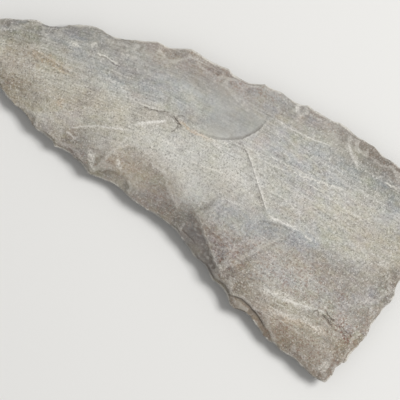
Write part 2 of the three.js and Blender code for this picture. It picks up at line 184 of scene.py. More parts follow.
# The stone's zones. Each row is the centre's pixel, the length along the bedding and the width across it
# in millimetres, and the strength. Smooth zones calm the fine patterns, ruled zones bring out the beds,
# and the others are colours
zones = {
    "bleached": [
        ((150, 128), 50, 12, 0.8),
        ((180, 167), 36, 14, 1.5),
        ((240, 186), 32, 15, 1.2),
        ((222, 158), 40, 13, 1.15),
        ((135, 96), 24, 8, 0.6),
        ((285, 269), 18, 9, 0.9),
        ((364, 240), 16, 10, 0.9),
        ((290, 195), 36, 12, 0.6),
        ((342, 186), 26, 8, 0.8),
        ((345, 212), 30, 9, 0.7),
        ((262, 238), 16, 6, 0.9),
        ((328, 242), 36, 10, 1),
        ((98, 142), 12, 7, 1),
        ((130, 150), 20, 7, 0.6),
        ((80, 98), 34, 12, 0.4),
        ((22, 74), 26, 9, 0.4),
        ((284, 299), 22, 4, 0.7),
        ((300, 319), 24, 4, 0.4),
        ((314, 347), 16, 9, 2.4),
        ((100, 58), 30, 12, 0.6),
        ((68, 68), 20, 8, 0.6),
        ((46, 114), 20, 12, 0.7),
        ((155, 60), 20, 8, 0.4),
        ((172, 88), 20, 10, 0.6),
        ((186, 194), 16, 14, 1.3),
        ((272, 92), 24, 8, 0.5),
        ((215, 110), 20, 8, 0.4),
        ((150, 148), 20, 8, 0.9),
        ((165, 158), 16, 8, 1),
        ((92, 160), 7, 7, 1.4),
        ((190, 165), 24, 14, 0.7),
        ((254, 178), 22, 12, 1.4),
        ((338, 158), 30, 9, 0.9),
        ((312, 250), 24, 8, 0.4),
        ((245, 228), 30, 7, 0.4),
        ((282, 271), 22, 6, 0.5),
        ((312, 288), 30, 10, 0.8),
        ((352, 312), 12, 10, 0.6),
        ((10, 62), 20, 10, 0.9),
        ((57, 84), 16, 8, 1.7),
        ((135, 114), 20, 8, 2.6),
        ((263, 88), 20, 6, 1.3),
        ((92, 142), 14, 8, 0.6),
        ((31, 76), 14, 6, 1.3),
        ((100, 147), 8, 6, 1.1),
        ((184, 205), 8, 7, 0.9),
        ((341, 138), 13, 8, 2.8),
        ((187, 227), 5, 3, 0.6),
        ((198, 245), 3, 2, 0.6),
        ((212, 268), 10, 4, 0.4),
        ((175, 92), 14, 7, 0.5),
        ((265, 268), 14, 7, 0.7),
        ((253, 291), 12, 9, 1.5),
        ((305, 314), 14, 6, 1.5),
        ((121, 57), 14, 7, 0.8),
        ((370, 264), 18, 11, 0.9),
        ((72, 96), 14, 8, 0.5),
        ((268, 184), 12, 8, 0.8),
        ((290, 228), 20, 6, 0.4),
        ((375, 203), 30, 8, 0.7),
        ((220, 236), 12, 8, 0.6),
        ((396, 267), 10, 8, 1.3),
        ((378, 226), 14, 8, 0.7),
        ((371, 284), 11, 9, 1.4),
        ((267, 310), 20, 5, 0.6),
        ((91, 86), 15, 7, 1),
        ((228, 88), 14, 5, 0.5),
        ((40, 96), 12, 6, 0.4),
        ((280, 152), 16, 9, 0.8),
        ((262, 306), 12, 7, 0.7),
        ((352, 318), 10, 12, 0.8),
        ((345, 196), 14, 10, 0.7),
        ((96, 124), 14, 8, 0.8),
        ((52, 42), 12, 9, 0.8),
        ((115, 173), 14, 7, 0.6),
        ((123, 184), 9, 7, 0.9),
    ],
    "tan": [
        ((125, 168), 40, 14, 0.45),
        ((102, 168), 9, 5, 0.5),
        ((32, 62), 24, 8, 0.6),
        ((14, 86), 26, 12, 0.9),
        ((45, 60), 26, 5, 0.9),
        ((207, 229), 14, 7, 1.1),
        ((72, 98), 16, 10, 0.35),
        ((272, 322), 10, 8, 0.8),
        ((340, 340), 12, 8, 0.5),
        ((14, 78), 14, 7, 0.5),
        ((104, 168), 16, 10, 0.7),
        ((240, 252), 16, 10, 0.4),
        ((226, 258), 12, 12, 0.9),
        ((240, 282), 14, 10, 0.6),
        ((285, 338), 26, 9, 1),
        ((72, 152), 18, 8, 0.6),
        ((325, 372), 16, 9, 1),
        ((300, 352), 44, 14, 0.5),
        ((346, 344), 14, 7, 0.8),
        ((335, 272), 20, 6, 0.5),
        ((388, 286), 16, 10, 0.8),
        ((240, 306), 10, 8, 0.3),
        ((75, 146), 9, 7, 0.5),
        ((240, 78), 30, 8, 1.1),
        ((372, 152), 30, 7, 1),
        ((300, 345), 24, 8, 0.7),
        ((392, 292), 14, 8, 0.8),
    ],
    "slate": [
        ((272, 236), 20, 6, 0.4),
        ((135, 72), 60, 10, 0.75),
        ((30, 36), 24, 6, 0.8),
        ((104, 48), 36, 8, 0.9),
        ((70, 42), 20, 8, 0.6),
        ((235, 82), 40, 5, 0.8),
        ((310, 122), 40, 4, 0.5),
        ((376, 176), 26, 9, 0.7),
        ((300, 245), 14, 4, 0.6),
        ((180, 214), 14, 8, 0.3),
        ((243, 307), 9, 9, 0.7),
        ((256, 219), 28, 7, 0.5),
    ],
    "blue": [
        ((52, 40), 22, 10, 1),
        ((96, 46), 22, 8, 1),
        ((75, 33), 36, 6, 0.6),
        ((118, 64), 30, 8, 0.6),
        ((140, 80), 60, 8, 0.5),
        ((168, 98), 50, 9, 0.35),
        ((220, 147), 12, 5, 0.7),
        ((298, 110), 14, 5, 0.9),
        ((310, 150), 30, 10, 0.4),
        ((345, 168), 40, 12, 0.5),
        ((378, 188), 36, 10, 0.8),
        ((247, 221), 40, 7, 0.8),
        ((300, 237), 22, 6, 0.6),
        ((319, 253), 20, 8, 1.6),
        ((302, 214), 20, 6, 0.5),
        ((268, 187), 16, 7, 1.3),
        ((360, 284), 20, 9, 2),
        ((12, 39), 14, 8, 1.5),
        ((46, 82), 20, 7, 0.8),
        ((265, 266), 12, 8, 0.9),
        ((395, 198), 20, 10, 0.8),
        ((187, 166), 15, 8, 1),
        ((192, 116), 16, 6, 0.8),
        ((312, 291), 20, 5, 0.5),
        ((194, 234), 20, 6, 0.6),
        ((205, 212), 14, 6, 0.6),
        ((262, 94), 16, 7, 1.5),
        ((83, 70), 12, 8, 0.6),
        ((155, 147), 10, 6, 0.7),
        ((122, 161), 9, 7, 0.6),
        ((367, 176), 18, 8, 1),
        ((380, 197), 16, 8, 0.4),
        ((104, 87), 18, 8, 1.2),
        ((388, 230), 16, 10, 0.7),
        ((292, 318), 16, 6, 0.8),
        ((175, 70), 12, 8, 0.5),
        ((50, 130), 10, 7, 0.4),
        ((46, 90), 12, 10, 0.8),
        ((284, 160), 12, 7, 0.5),
        ((325, 183), 16, 9, 0.8),
        ((200, 204), 10, 8, 0.5),
        ((305, 293), 10, 7, 0.6),
        ((228, 112), 40, 22, 0.15),
        ((230, 222), 22, 9, 0.6),
        ((50, 48), 12, 8, 0.9),
        ((60, 84), 12, 7, 0.5),
        ((130, 86), 14, 7, 0.6),
        ((182, 230), 10, 8, 1),
        ((281, 165), 12, 8, 0.8),
        ((275, 217), 12, 7, 0.6),
        ((352, 320), 10, 8, 0.8),
    ],
    "dull": [
        ((35, 42), 16, 8, 2.2),
        ((4, 78), 16, 10, 0.9),
        ((75, 90), 12, 6, 0.5),
        ((167, 122), 18, 7, 1.4),
        ((121, 110), 18, 7, 0.9),
        ((85, 106), 16, 6, 0.6),
        ((345, 226), 24, 8, 0.7),
        ((288, 285), 20, 6, 0.6),
        ((215, 130), 20, 8, 0.6),
        ((205, 213), 10, 7, 1.5),
        ((341, 304), 18, 8, 1.2),
        ((290, 308), 18, 5, 1),
        ((80, 149), 12, 11, 1.6),
        ((101, 167), 11, 6, 1.6),
        ((168, 187), 9, 8, 1.4),
        ((265, 170), 14, 8, 1),
        ((232, 276), 14, 11, 1.9),
        ((362, 190), 30, 10, 0.9),
        ((378, 160), 54, 16, 1.6),
        ((176, 222), 14, 8, 0.8),
        ((8, 88), 16, 8, 0.8),
        ((326, 372), 14, 8, 0.8),
        ((300, 352), 24, 8, 0.7),
        ((385, 250), 24, 14, 0.7),
        ((392, 288), 16, 11, 3.6),
        ((345, 276), 20, 8, 1.5),
        ((287, 347), 34, 11, 1.1),
        ((344, 358), 14, 8, 2.8),
        ((345, 335), 20, 12, 0.6),
        ((57, 104), 12, 7, 0.5),
        ((77, 135), 8, 8, 1),
        ((90, 169), 7, 5, 0.8),
        ((120, 70), 14, 6, 0.5),
        ((197, 246), 9, 8, 0.5),
        ((243, 306), 10, 9, 2.6),
        ((316, 329), 12, 7, 1.6),
        ((290, 350), 14, 6, 0.9),
        ((379, 155), 24, 9, 2.2),
        ((200, 79), 20, 6, 0.9),
        ((157, 212), 16, 6, 0.5),
        ((111, 131), 12, 6, 0.6),
        ((174, 216), 9, 7, 0.7),
        ((220, 186), 12, 7, 0.8),
        ((290, 201), 20, 6, 0.5),
        ((304, 273), 16, 7, 0.6),
        ((286, 342), 16, 8, 1.6),
        ((327, 377), 12, 7, 2),
        ((398, 246), 10, 8, 0.7),
        ((72, 72), 12, 6, 0.5),
        ((112, 45), 14, 6, 0.9),
        ((141, 85), 18, 6, 0.5),
        ((162, 58), 10, 8, 0.5),
        ((158, 178), 14, 9, 0.5),
        ((229, 214), 14, 6, 0.5),
        ((271, 255), 22, 8, 0.6),
        ((305, 181), 18, 6, 0.4),
        ((132, 73), 14, 6, 0.4),
        ((270, 206), 16, 6, 0.6),
        ((367, 322), 12, 9, 1.3),
        ((228, 77), 12, 5, 0.6),
        ((150, 205), 14, 6, 0.6),
        ((395, 172), 22, 8, 1.8),
        ((190, 239), 12, 9, 0.7),
        ((179, 219), 12, 7, 1),
        ((151, 161), 12, 8, 0.7),
        ((232, 250), 14, 8, 0.7),
        ((40, 65), 12, 6, 0.7),
        ((104, 55), 12, 6, 0.6),
        ((207, 166), 12, 8, 0.5),
        ((284, 303), 12, 6, 0.6),
    ],
    "rose": [
        ((158, 56), 22, 8, 1),
        ((215, 76), 30, 6, 1),
        ((262, 96), 20, 6, 0.7),
        ((325, 126), 16, 5, 0.9),
        ((288, 262), 36, 12, 0.8),
        ((300, 290), 50, 16, 0.8),
        ((300, 340), 40, 16, 0.4),
        ((342, 332), 20, 8, 1),
        ((392, 180), 18, 9, 0.6),
        ((172, 206), 14, 10, 0.9),
        ((345, 328), 12, 9, 1),
        ((368, 314), 12, 9, 0.9),
        ((265, 275), 50, 16, 0.9),
        ((302, 270), 12, 9, 0.5),
        ((330, 290), 14, 10, 0.5),
        ((278, 191), 8, 7, 0.6),
        ((190, 205), 22, 12, 0.3),
    ],
    "sand": [
        ((45, 98), 60, 24, 0.55),
        ((25, 55), 34, 14, 1.1),
        ((8, 82), 20, 12, 0.9),
        ((73, 98), 30, 16, 1.7),
        ((149, 59), 12, 10, 1),
        ((220, 187), 16, 8, 1),
        ((291, 253), 18, 8, 1.9),
        ((355, 262), 16, 7, 1.4),
        ((330, 268), 20, 8, 0.7),
        ((305, 345), 60, 26, 1),
        ((271, 322), 22, 12, 1.3),
        ((360, 228), 30, 12, 0.7),
        ((85, 35), 24, 6, 0.6),
        ((150, 166), 24, 9, 0.8),
        ((82, 106), 34, 8, 0.7),
        ((160, 175), 16, 9, 0.7),
        ((125, 104), 50, 7, 0.2),
        ((252, 286), 22, 12, 0.8),
        ((290, 327), 50, 18, 0.5),
        ((330, 270), 20, 8, 0.4),
        ((385, 250), 30, 22, 0.4),
        ((335, 348), 26, 14, 1),
        ((46, 57), 14, 8, 0.6),
        ((355, 224), 10, 8, 0.7),
        ((14, 75), 14, 7, 0.7),
        ((165, 168), 14, 8, 0.6),
        ((83, 38), 14, 6, 0.9),
        ((30, 47), 12, 7, 0.7),
        ((337, 273), 14, 8, 0.9),
        ((251, 214), 12, 6, 0.6),
        ((104, 164), 8, 6, 0.8),
        ((281, 257), 12, 6, 0.6),
        ((126, 154), 12, 7, 0.4),
        ((112, 165), 14, 8, 0.7),
        ((136, 155), 10, 7, 0.6),
        ((206, 225), 8, 8, 0.6),
        ((268, 336), 12, 9, 0.7),
    ],
    "olive": [
        ((15, 72), 40, 22, 1),
        ((12, 30), 16, 8, 0.6),
        ((92, 60), 20, 12, 1.2),
        ((62, 95), 26, 10, 0.6),
        ((125, 106), 54, 16, 0.8),
        ((122, 135), 16, 12, 0.5),
        ((122, 42), 24, 6, 0.8),
        ((196, 133), 11, 7, 1),
        ((220, 187), 12, 8, 0.7),
        ((257, 204), 14, 9, 1),
        ((266, 170), 16, 8, 0.7),
        ((300, 198), 18, 12, 0.7),
        ((342, 160), 34, 10, 0.8),
        ((356, 207), 14, 16, 1.3),
        ((378, 222), 20, 9, 0.8),
        ((379, 254), 24, 14, 1.1),
        ((328, 330), 16, 9, 0.5),
    ],
    "rusty": [
        ((337, 326), 3, 2, 0.8),
        ((341, 331), 3.5, 2.5, 1.3),
        ((346, 340), 3.5, 3, 1.6),
        ((342, 297), 3, 3, 0.7),
        ((220, 261), 2, 1.5, 0.9),
        ((196, 133), 2.5, 1.5, 0.6),
    ],
    "smooth": [
        ((180, 76), 80, 22, 0.45),
        ((225, 100), 40, 22, 0.35),
        ((378, 156), 34, 12, 0.25),
        ((318, 116), 60, 10, 0.35),
        ((75, 30), 70, 8, 0.3),
        ((300, 355), 50, 12, 0.35),
        ((140, 195), 50, 10, 0.3),
        ((130, 176), 50, 18, 0.3),
        ((245, 222), 50, 12, 0.35),
    ],
    "ruled": [
        ((110, 76), 80, 34, 1.1),
        ((200, 100), 60, 20, 0.7),
        ((330, 190), 80, 34, 0.6),
        ((290, 312), 40, 14, 0.9),
    ],
}

# The stone's surface: a fine skin over the knapped solid, worked as the real one was

same_point = 0.001 * MM  # the gap at which two vertices become one
skin_voxel = 0.36 * MM
edge_rounding_passes = 3
face_easing_passes = 90
eased_from = 2.5 * MM  # inwards of the edge, where the faces begin to lose the solid's facets
eased_fully = 8 * MM
rim_lean = 0.3  # the most that the rim's normals lean up or down
edge_regain = 0.3 * MM  # what the rounding took off the edge
regain_reach = 2 * MM
lifted_lean = (0, 0.4)  # of the normals, from where lines begin to stand up to where they fully do
marked_lean = (-0.1, 0.3)  # the same for the lines' colours

corner_cut = 0.25  # of each step of a line, at both its ends
line_blur = 0.2 * MM  # rounds what would be a sharp line
line_end_fade = (-0.05, 0.2)  # in shares of the line's length
coarse_wander_length = 3 * MM  # of the waves in which lines stray
fine_wander_length = 1 * MM
wander_seeds = (7, 8)
arris_wander = 0.18 * MM  # how far each kind of line strays
shoulder_wander = 0.9 * MM
crack_wander = 0.4 * MM
vein_wander = 0.35 * MM
facet_reach = 13 * MM  # of the slate stone that a fallen flake laid bare, darkened by painted shade
facet_end = 4  # how suddenly it ends there
facet_shade = 0.7  # how dark the painted shade on it is
facet_smoothness = 0.6
shoulder_shade = 0.5  # more painted shade, close under the shoulder
shoulder_shade_width = 2.4 * MM
stain_blur = 1.5 * MM
foot_width = 0.2 * MM  # of the dark line at a scarp's foot: painted crease shade with some dirt
foot_offset = 0.12 * MM
lip_width = 0.2 * MM  # of the pale line along its top: a painted highlight with some wear
lip_offset = 0.22 * MM
far_gap = 6.0  # in widths of a line, as the next two
line_fades_from = 2.5
line_gone = 4

swells = [(17, 0.16), (6, 0.07), (2.2, 0.035), (0.9, 0.018)]  # waves' length and height in millimetres
noise_shifts = (17.3, 5.1, 9.7)  # from one seed's noise to the next

# Chips and nicks of the edge: their number, the radius in millimetres of the balls whose surfaces they
# are parts of, how deep those bite, and their tilt from level in degrees
chips = (380, (2.5, 12), (0.06, 0.22), (12, 52))
nicks = (90, (0.8, 2.6), (0.12, 0.4), (0, 20))
chip_easing_passes = 1

bedding_rises = (math.radians(13), math.radians(0))  # the bands' climb on the point's side and the butt's
bedding_turn = -8  # in millimetres, as the next one
bedding_turn_width = 16
bedding_dip = 0.15  # how far the beds lean, to one of height

bend_easing_passes = 3
full_bend = 0.004 * MM  # how far a vertex stands from its neighbours' mean on a sharp form
bend_shown = (0.5 * MM, 2 * MM)  # inwards of the rim, from where bends begin to show to where they fully do
edge_wear_width = 5 * MM
rim_highlight_band = (0.15 * MM, 0.55 * MM)  # the painted highlight along the very edge, from full to nothing
triangle_count = 190000
underside_weight = 30  # how much more of its triangles the underside gives up


def fine_skin():
    """A closed, even mesh of the whole blade, fine enough to take chips and pits."""
    shape = bmesh.new()
    shape.from_mesh(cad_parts["chert_blade"].data)
    bmesh.ops.remove_doubles(shape, verts=shape.verts, dist=same_point)
    mesh = bpy.data.meshes.new("knapped_chert")
    shape.to_mesh(mesh)
    shape.free()
    mesh.materials.clear()
    skin = bpy.data.objects.new("knapped_chert", mesh)
    bpy.context.scene.collection.objects.link(skin)
    remesh = skin.modifiers.new("even_skin", "REMESH")
    remesh.mode = "VOXEL"
    remesh.voxel_size = skin_voxel
    even = bpy.data.meshes.new_from_object(skin.evaluated_get(bpy.context.evaluated_depsgraph_get()))
    skin.modifiers.clear()
    skin.data = even
    return skin


def read(values, name, width):
    """One property of all the mesh's vertices or edges as an array."""
    kind = int if name == "vertices" else float
    flat = np.zeros(len(values) * width, kind)
    values.foreach_get(name, flat)
    return flat.reshape(-1, width)


def normals_at(mesh, places):
    """The mesh's normals, once its vertices are moved to the places."""
    mesh.vertices.foreach_set("co", places.ravel())
    mesh.update()
    return read(mesh.vertices, "normal", 3)


def neighbour_mean(values, pairs):
    """The mean of each vertex's neighbours."""
    ends = np.concatenate([pairs[:, 0], pairs[:, 1]])
    others = np.concatenate([pairs[:, 1], pairs[:, 0]])
    count = np.bincount(ends, minlength=len(values))
    totals = [np.bincount(ends, weights=column[others], minlength=len(values)) for column in values.T]
    return np.stack(totals, axis=1) / count[:, None]


def relaxed(places, pairs, passes, share):
    """The places after so many passes, each of which takes them up to half way to their neighbours' mean."""
    for _ in range(passes):
        places = places + share[:, None] * (neighbour_mean(places, pairs) - places) / 2
    return places


def stepped(value, low, high):
    """0 below low, 1 above high and a smooth rise between."""
    share = np.clip((value - low) / (high - low), 0, 1)
    return share * share * (3 - 2 * share)


def nearest_distances(places, targets):
    """How far each place lies, seen from above, from the nearest target."""
    tree = kdtree.KDTree(len(targets))
    for i, target in enumerate(targets):
        tree.insert((target[0], target[1], 0), i)
    tree.balance()
    return np.array([tree.find((place[0], place[1], 0))[2] for place in places])


def rounded(points):
    """The line with its corners cut off, twice."""
    for _ in range(2):
        cut = [points[0]]
        for start, end in zip(points, points[1:]):
            cut.append(start * (1 - corner_cut) + end * corner_cut)
            cut.append(start * corner_cut + end * (1 - corner_cut))
        cut.append(points[-1])
        points = cut
    return points


def along_line(places, pixels, wander):
    """Each place's distance from a line of pixels, above zero on its left, and the line's fade to both ends.

    Wander is about how far the line strays from its pixels.
    """
    points = rounded([np.array(on_blade(pixel)) for pixel in pixels])
    steps = [np.linalg.norm(end - start) for start, end in zip(points, points[1:])]
    walked = np.concatenate([[0], np.cumsum(steps)])
    distance = np.full(len(places), np.inf)
    side = np.zeros(len(places))
    share = np.zeros(len(places))
    for start, end, step, before in zip(points, points[1:], steps, walked):
        way = (end - start) / step
        offset = places[:, :2] - start
        run = np.clip(offset @ way, 0, step)
        gap = offset - run[:, None] * way
        length = np.hypot(gap[:, 0], gap[:, 1])
        nearer = length < distance
        distance[nearer] = length[nearer]
        side[nearer] = np.sign(way[0] * offset[nearer, 1] - way[1] * offset[nearer, 0])
        share[nearer] = (before + run[nearer]) / walked[-1]
    fade = stepped(share, *line_end_fade) * stepped(1 - share, *line_end_fade)
    return distance * side + wander * wandering, fade


def bedded(places):
    """Places as millimetres along, across and through the stone's beds, which bend near the middle."""
    x, y, z = places.T / MM
    start, end = (math.tan(rise) for rise in bedding_rises)
    turn = bedding_turn_width * np.log(np.cosh((x - bedding_turn) / bedding_turn_width))
    level = x * (start + end) / 2 + turn * (end - start) / 2
    return np.stack([x, y - level + z * bedding_dip, z], axis=1)


def zone(beds, pixel, length, width):
    """1 at a pixel's place, about a third at the rim of an oval along the beds and 0 far outside it."""
    centre = bedded(np.array([[*on_blade(pixel), blade_high.z]]))[0]
    along, across = beds[:, 0] - centre[0], beds[:, 1] - centre[1]
    return np.exp(-((along / (length / 2)) ** 2) - (across / (width / 2)) ** 2)


def noise_at(places, length, seed):
    """Smooth noise from -1 to 1 with waves of one length, each seed's another."""
    shift = Vector([seed * step for step in noise_shifts])
    return np.array([noise.noise(Vector(place) / length + shift) for place in places])


blade = fine_skin()
mesh = blade.data
pairs = read(mesh.edges, "vertices", 2)
places = read(mesh.vertices, "co", 3)
everywhere = np.ones(len(places))

# The solid's facets go, most on the open faces, and the edge gets back what its rounding took

places = relaxed(places, pairs, edge_rounding_passes, everywhere)
normals = normals_at(mesh, places)
rim = places[np.abs(normals[:, 2]) < rim_lean]
rim_distance = nearest_distances(places, rim)
regain = edge_regain * (1 - stepped(rim_distance, 0, regain_reach))
places[:, :2] += normals[:, :2] * regain[:, None]
places = relaxed(places, pairs, face_easing_passes, stepped(rim_distance, eased_from, eased_fully))
normals = normals_at(mesh, places)
upper = stepped(normals[:, 2], *lifted_lean)

# Scars, arrises and cracks of the shown face


class Lines:
    """The lines of one kind: each place's gap to the nearest, in its widths, and that line's strength."""

    def __init__(self):
        self.gap = np.full(len(places), far_gap)
        self.strength = np.zeros(len(places))

    def lay(self, gap, strength):
        """Adds a line, which counts at the places where it is the nearest."""
        nearer = np.abs(gap) < np.abs(self.gap)
        left = strength * (1 - stepped(np.abs(gap), line_fades_from, line_gone))
        self.gap[nearer] = gap[nearer]
        self.strength[nearer] = left[nearer]


rise = np.zeros(len(places))
coarse, fine = wander_seeds
wandering = noise_at(places, coarse_wander_length, coarse) + noise_at(places, fine_wander_length, fine) / 2
own = {name: np.zeros(len(places)) for name in zones}
lines = {name: Lines() for name in ("crest_wear_and_highlight", "foot_shade_and_dirt", "slit", "pale", "ochre")}
for pixels, height, reach, width, rubbed in arrises:
    gap, fade = along_line(places, pixels, arris_wander)
    rise += fade * height * MM * np.exp(-np.hypot(gap, line_blur) / (reach * MM))
    lines["crest_wear_and_highlight"].lay(gap / (width * MM), fade * rubbed)
for pixels, height, inward, outward, slate, tan in shoulders:
    gap, fade = along_line(places, pixels, shoulder_wander)
    fallen = stepped(gap, -line_blur, line_blur)
    distance = np.abs(gap)
    kept_inwards = np.exp(-distance / (inward * MM))
    kept_outwards = np.exp(-distance / (outward * MM)) * rim_distance / (rim_distance + distance + line_blur)
    rise += fade * height * MM * (fallen * kept_outwards + (1 - fallen) * kept_inwards)
    # The bared facet's slate share carries painted shade, strongest close under the shoulder
    near = fade * np.exp(-((distance / facet_reach) ** facet_end))
    shade = facet_shade + shoulder_shade * np.exp(-((distance / shoulder_shade_width) ** 2))
    own["slate"] += slate * near * fallen * shade
    own["smooth"] += slate * near * fallen * facet_smoothness
    own["tan"] += tan * near * stepped(gap, -stain_blur, stain_blur)
for pixels, drop, reach, smooth, foot_shade_and_dirt, lip_wear_and_highlight in scarps:
    gap, fade = along_line(places, pixels, arris_wander)
    low = stepped(gap, -line_blur, line_blur)
    rise -= fade * low * drop * MM * np.exp(-np.abs(gap) / (reach * MM))
    own["smooth"] += smooth * fade * low * np.exp(-((gap / (reach * MM)) ** 2))
    # The foot's dark line is painted crease shade with some dirt, the lip's pale line a painted highlight
    # with some wear
    lines["foot_shade_and_dirt"].lay((gap - foot_offset) / foot_width, fade * foot_shade_and_dirt)
    lines["crest_wear_and_highlight"].lay((gap + lip_offset) / lip_width, fade * lip_wear_and_highlight)
for pixels, depth, width, shade in cracks:
    gap, fade = along_line(places, pixels, crack_wander)
    rise -= fade * depth * MM * np.exp(-((gap / (width * MM)) ** 2))
    lines["slit"].lay(gap / (width * MM), fade * shade)
for kind, rows in (("pale", pale_veins), ("ochre", ochre_veins)):
    for pixels, width, strength in rows:
        gap, fade = along_line(places, pixels, vein_wander)
        lines[kind].lay(gap / (width * MM), fade * strength)
places[:, 2] += rise * upper

# The surface's own unevenness

for seed, (length, height) in enumerate(swells):
    places += normals * (noise_at(places, length * MM, seed) * height * MM)[:, None]

# Small chips and nicks of the edge, each a piece of a ball's surface, then softened a little

on_rim = np.abs(normals[:, 2]) < rim_lean
rim, rim_normals = places[on_rim], normals[on_rim]
for count, radii, bites, tilts in (chips, nicks):
    for _ in range(count):
        spot = luck.randint(len(rim))
        radius = luck.uniform(*radii) * MM
        bite = luck.uniform(*bites) * MM
        tilt = math.radians(luck.uniform(*tilts)) * luck.choice([-1, 1])
        outward = np.array([rim_normals[spot][0], rim_normals[spot][1], 0])
        outward /= np.linalg.norm(outward)
        way = outward * math.cos(tilt) + np.array([0, 0, math.sin(tilt)])
        centre = rim[spot] + way * (radius - bite)
        offset = places - centre
        distance = np.linalg.norm(offset, axis=1)
        struck = distance < radius
        places[struck] = centre + offset[struck] * (radius / distance[struck])[:, None]
places = relaxed(places, pairs, chip_easing_passes, everywhere)
places[:, 2] = np.maximum(places[:, 2], 0)
normals = normals_at(mesh, places)

# What the material reads: how the shape bends, how near the edge is, and the lines, zones and beds

# The bend darkens hollows as painted crease shade with dirt, and pales convex forms as wear
bend = np.sum((neighbour_mean(places, pairs) - places) * normals, axis=1)[:, None]
for _ in range(bend_easing_passes):
    bend = (bend + neighbour_mean(bend, pairs)) / 2
bend = bend[:, 0] / full_bend * stepped(rim_distance, *bend_shown)


def keep(name, values):
    """Keeps one value for each place in the mesh, for the material."""
    attribute = mesh.attributes.new(name, "FLOAT", "POINT")
    attribute.data.foreach_set("value", values.astype(np.float32))


shown = stepped(normals[:, 2], *marked_lean)
beds = bedded(places)
keep("bend", bend)
keep("edge", 1 - stepped(rim_distance, 0, edge_wear_width))
# The pale line on the very edge is a painted highlight
keep("rim", 1 - stepped(rim_distance, *rim_highlight_band))
for name, kind in lines.items():
    keep(name + "_gap", kind.gap)
    keep(name + "_strength", kind.strength * shown)
for name, rows in zones.items():
    own[name] += sum(strength * zone(beds, pixel, length, width) for pixel, length, width, strength in rows)
    keep(name, own[name])
attribute = mesh.attributes.new("beds", "FLOAT_VECTOR", "POINT")
attribute.data.foreach_set("vector", beds.astype(np.float32).ravel())

# The underside, which shows least, takes larger triangles

underside = blade.vertex_groups.new(name="underside")
underside.add([int(i) for i in np.flatnonzero(normals[:, 2] < 0)], 1, "REPLACE")
thinning = blade.modifiers.new("larger_underside_triangles", "DECIMATE")
thinning.ratio = triangle_count / (2 * len(mesh.polygons))
thinning.vertex_group = "underside"
thinning.vertex_group_factor = underside_weight
blade.data = bpy.data.meshes.new_from_object(blade.evaluated_get(bpy.context.evaluated_depsgraph_get()))
blade.modifiers.clear()
blade.data.shade_smooth()
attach(blade, "root")
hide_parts("chert_blade")


# Materials


def colour(code):
    """An sRGB hex value as linear red, green, blue and alpha."""
    shares = [int(code[i:i + 2], 16) / 255 for i in (1, 3, 5)]
    return [s / 12.92 if s <= 0.04045 else ((s + 0.055) / 1.055) ** 2.4 for s in shares] + [1]


colour_a, colour_b, colour_out = 6, 7, 2  # a Mix node's sockets for colours

# Noise that is drawn out along the beds: its waves' length, thickness and depth in millimetres, then
# its detail and roughness
bedded_noises = {
    "band": (34, 2.6, 7, 3, 0.6),
    "hair": (18, 0.6, 3, 2, 0.6),
    "thread": (5, 0.42, 1.2, 1, 0.5),
    "streak": (40, 10, 18, 2, 0.5),
    "small_hues": (3.6, 1.8, 1.8, 1, 0.6),
}

# Noise that is alike all ways: its waves' length in millimetres, detail and roughness. The stone's
# quartz grains are far finer than a pixel, so the specks and crystals that stand for them are coarser
plain_noises = {
    "sway": (24, 3, 0.5),
    "cloud": (15, 3, 0.55),
    "broad_hues": (8, 3, 0.6),
    "blotch": (4.5, 3, 0.6),
    "fleck": (1.6, 2, 0.6),
    "rust": (0.7, 1, 0.5),
    "grain": (0.6, 2, 0.75),
    "speck": (0.34, 1, 0.5),
}
crystal_size = 0.36
sway_size = 4  # of the beds' unevenness, in millimetres
noise_ends = (0.3, 0.7)  # between which most of a noise's values lie

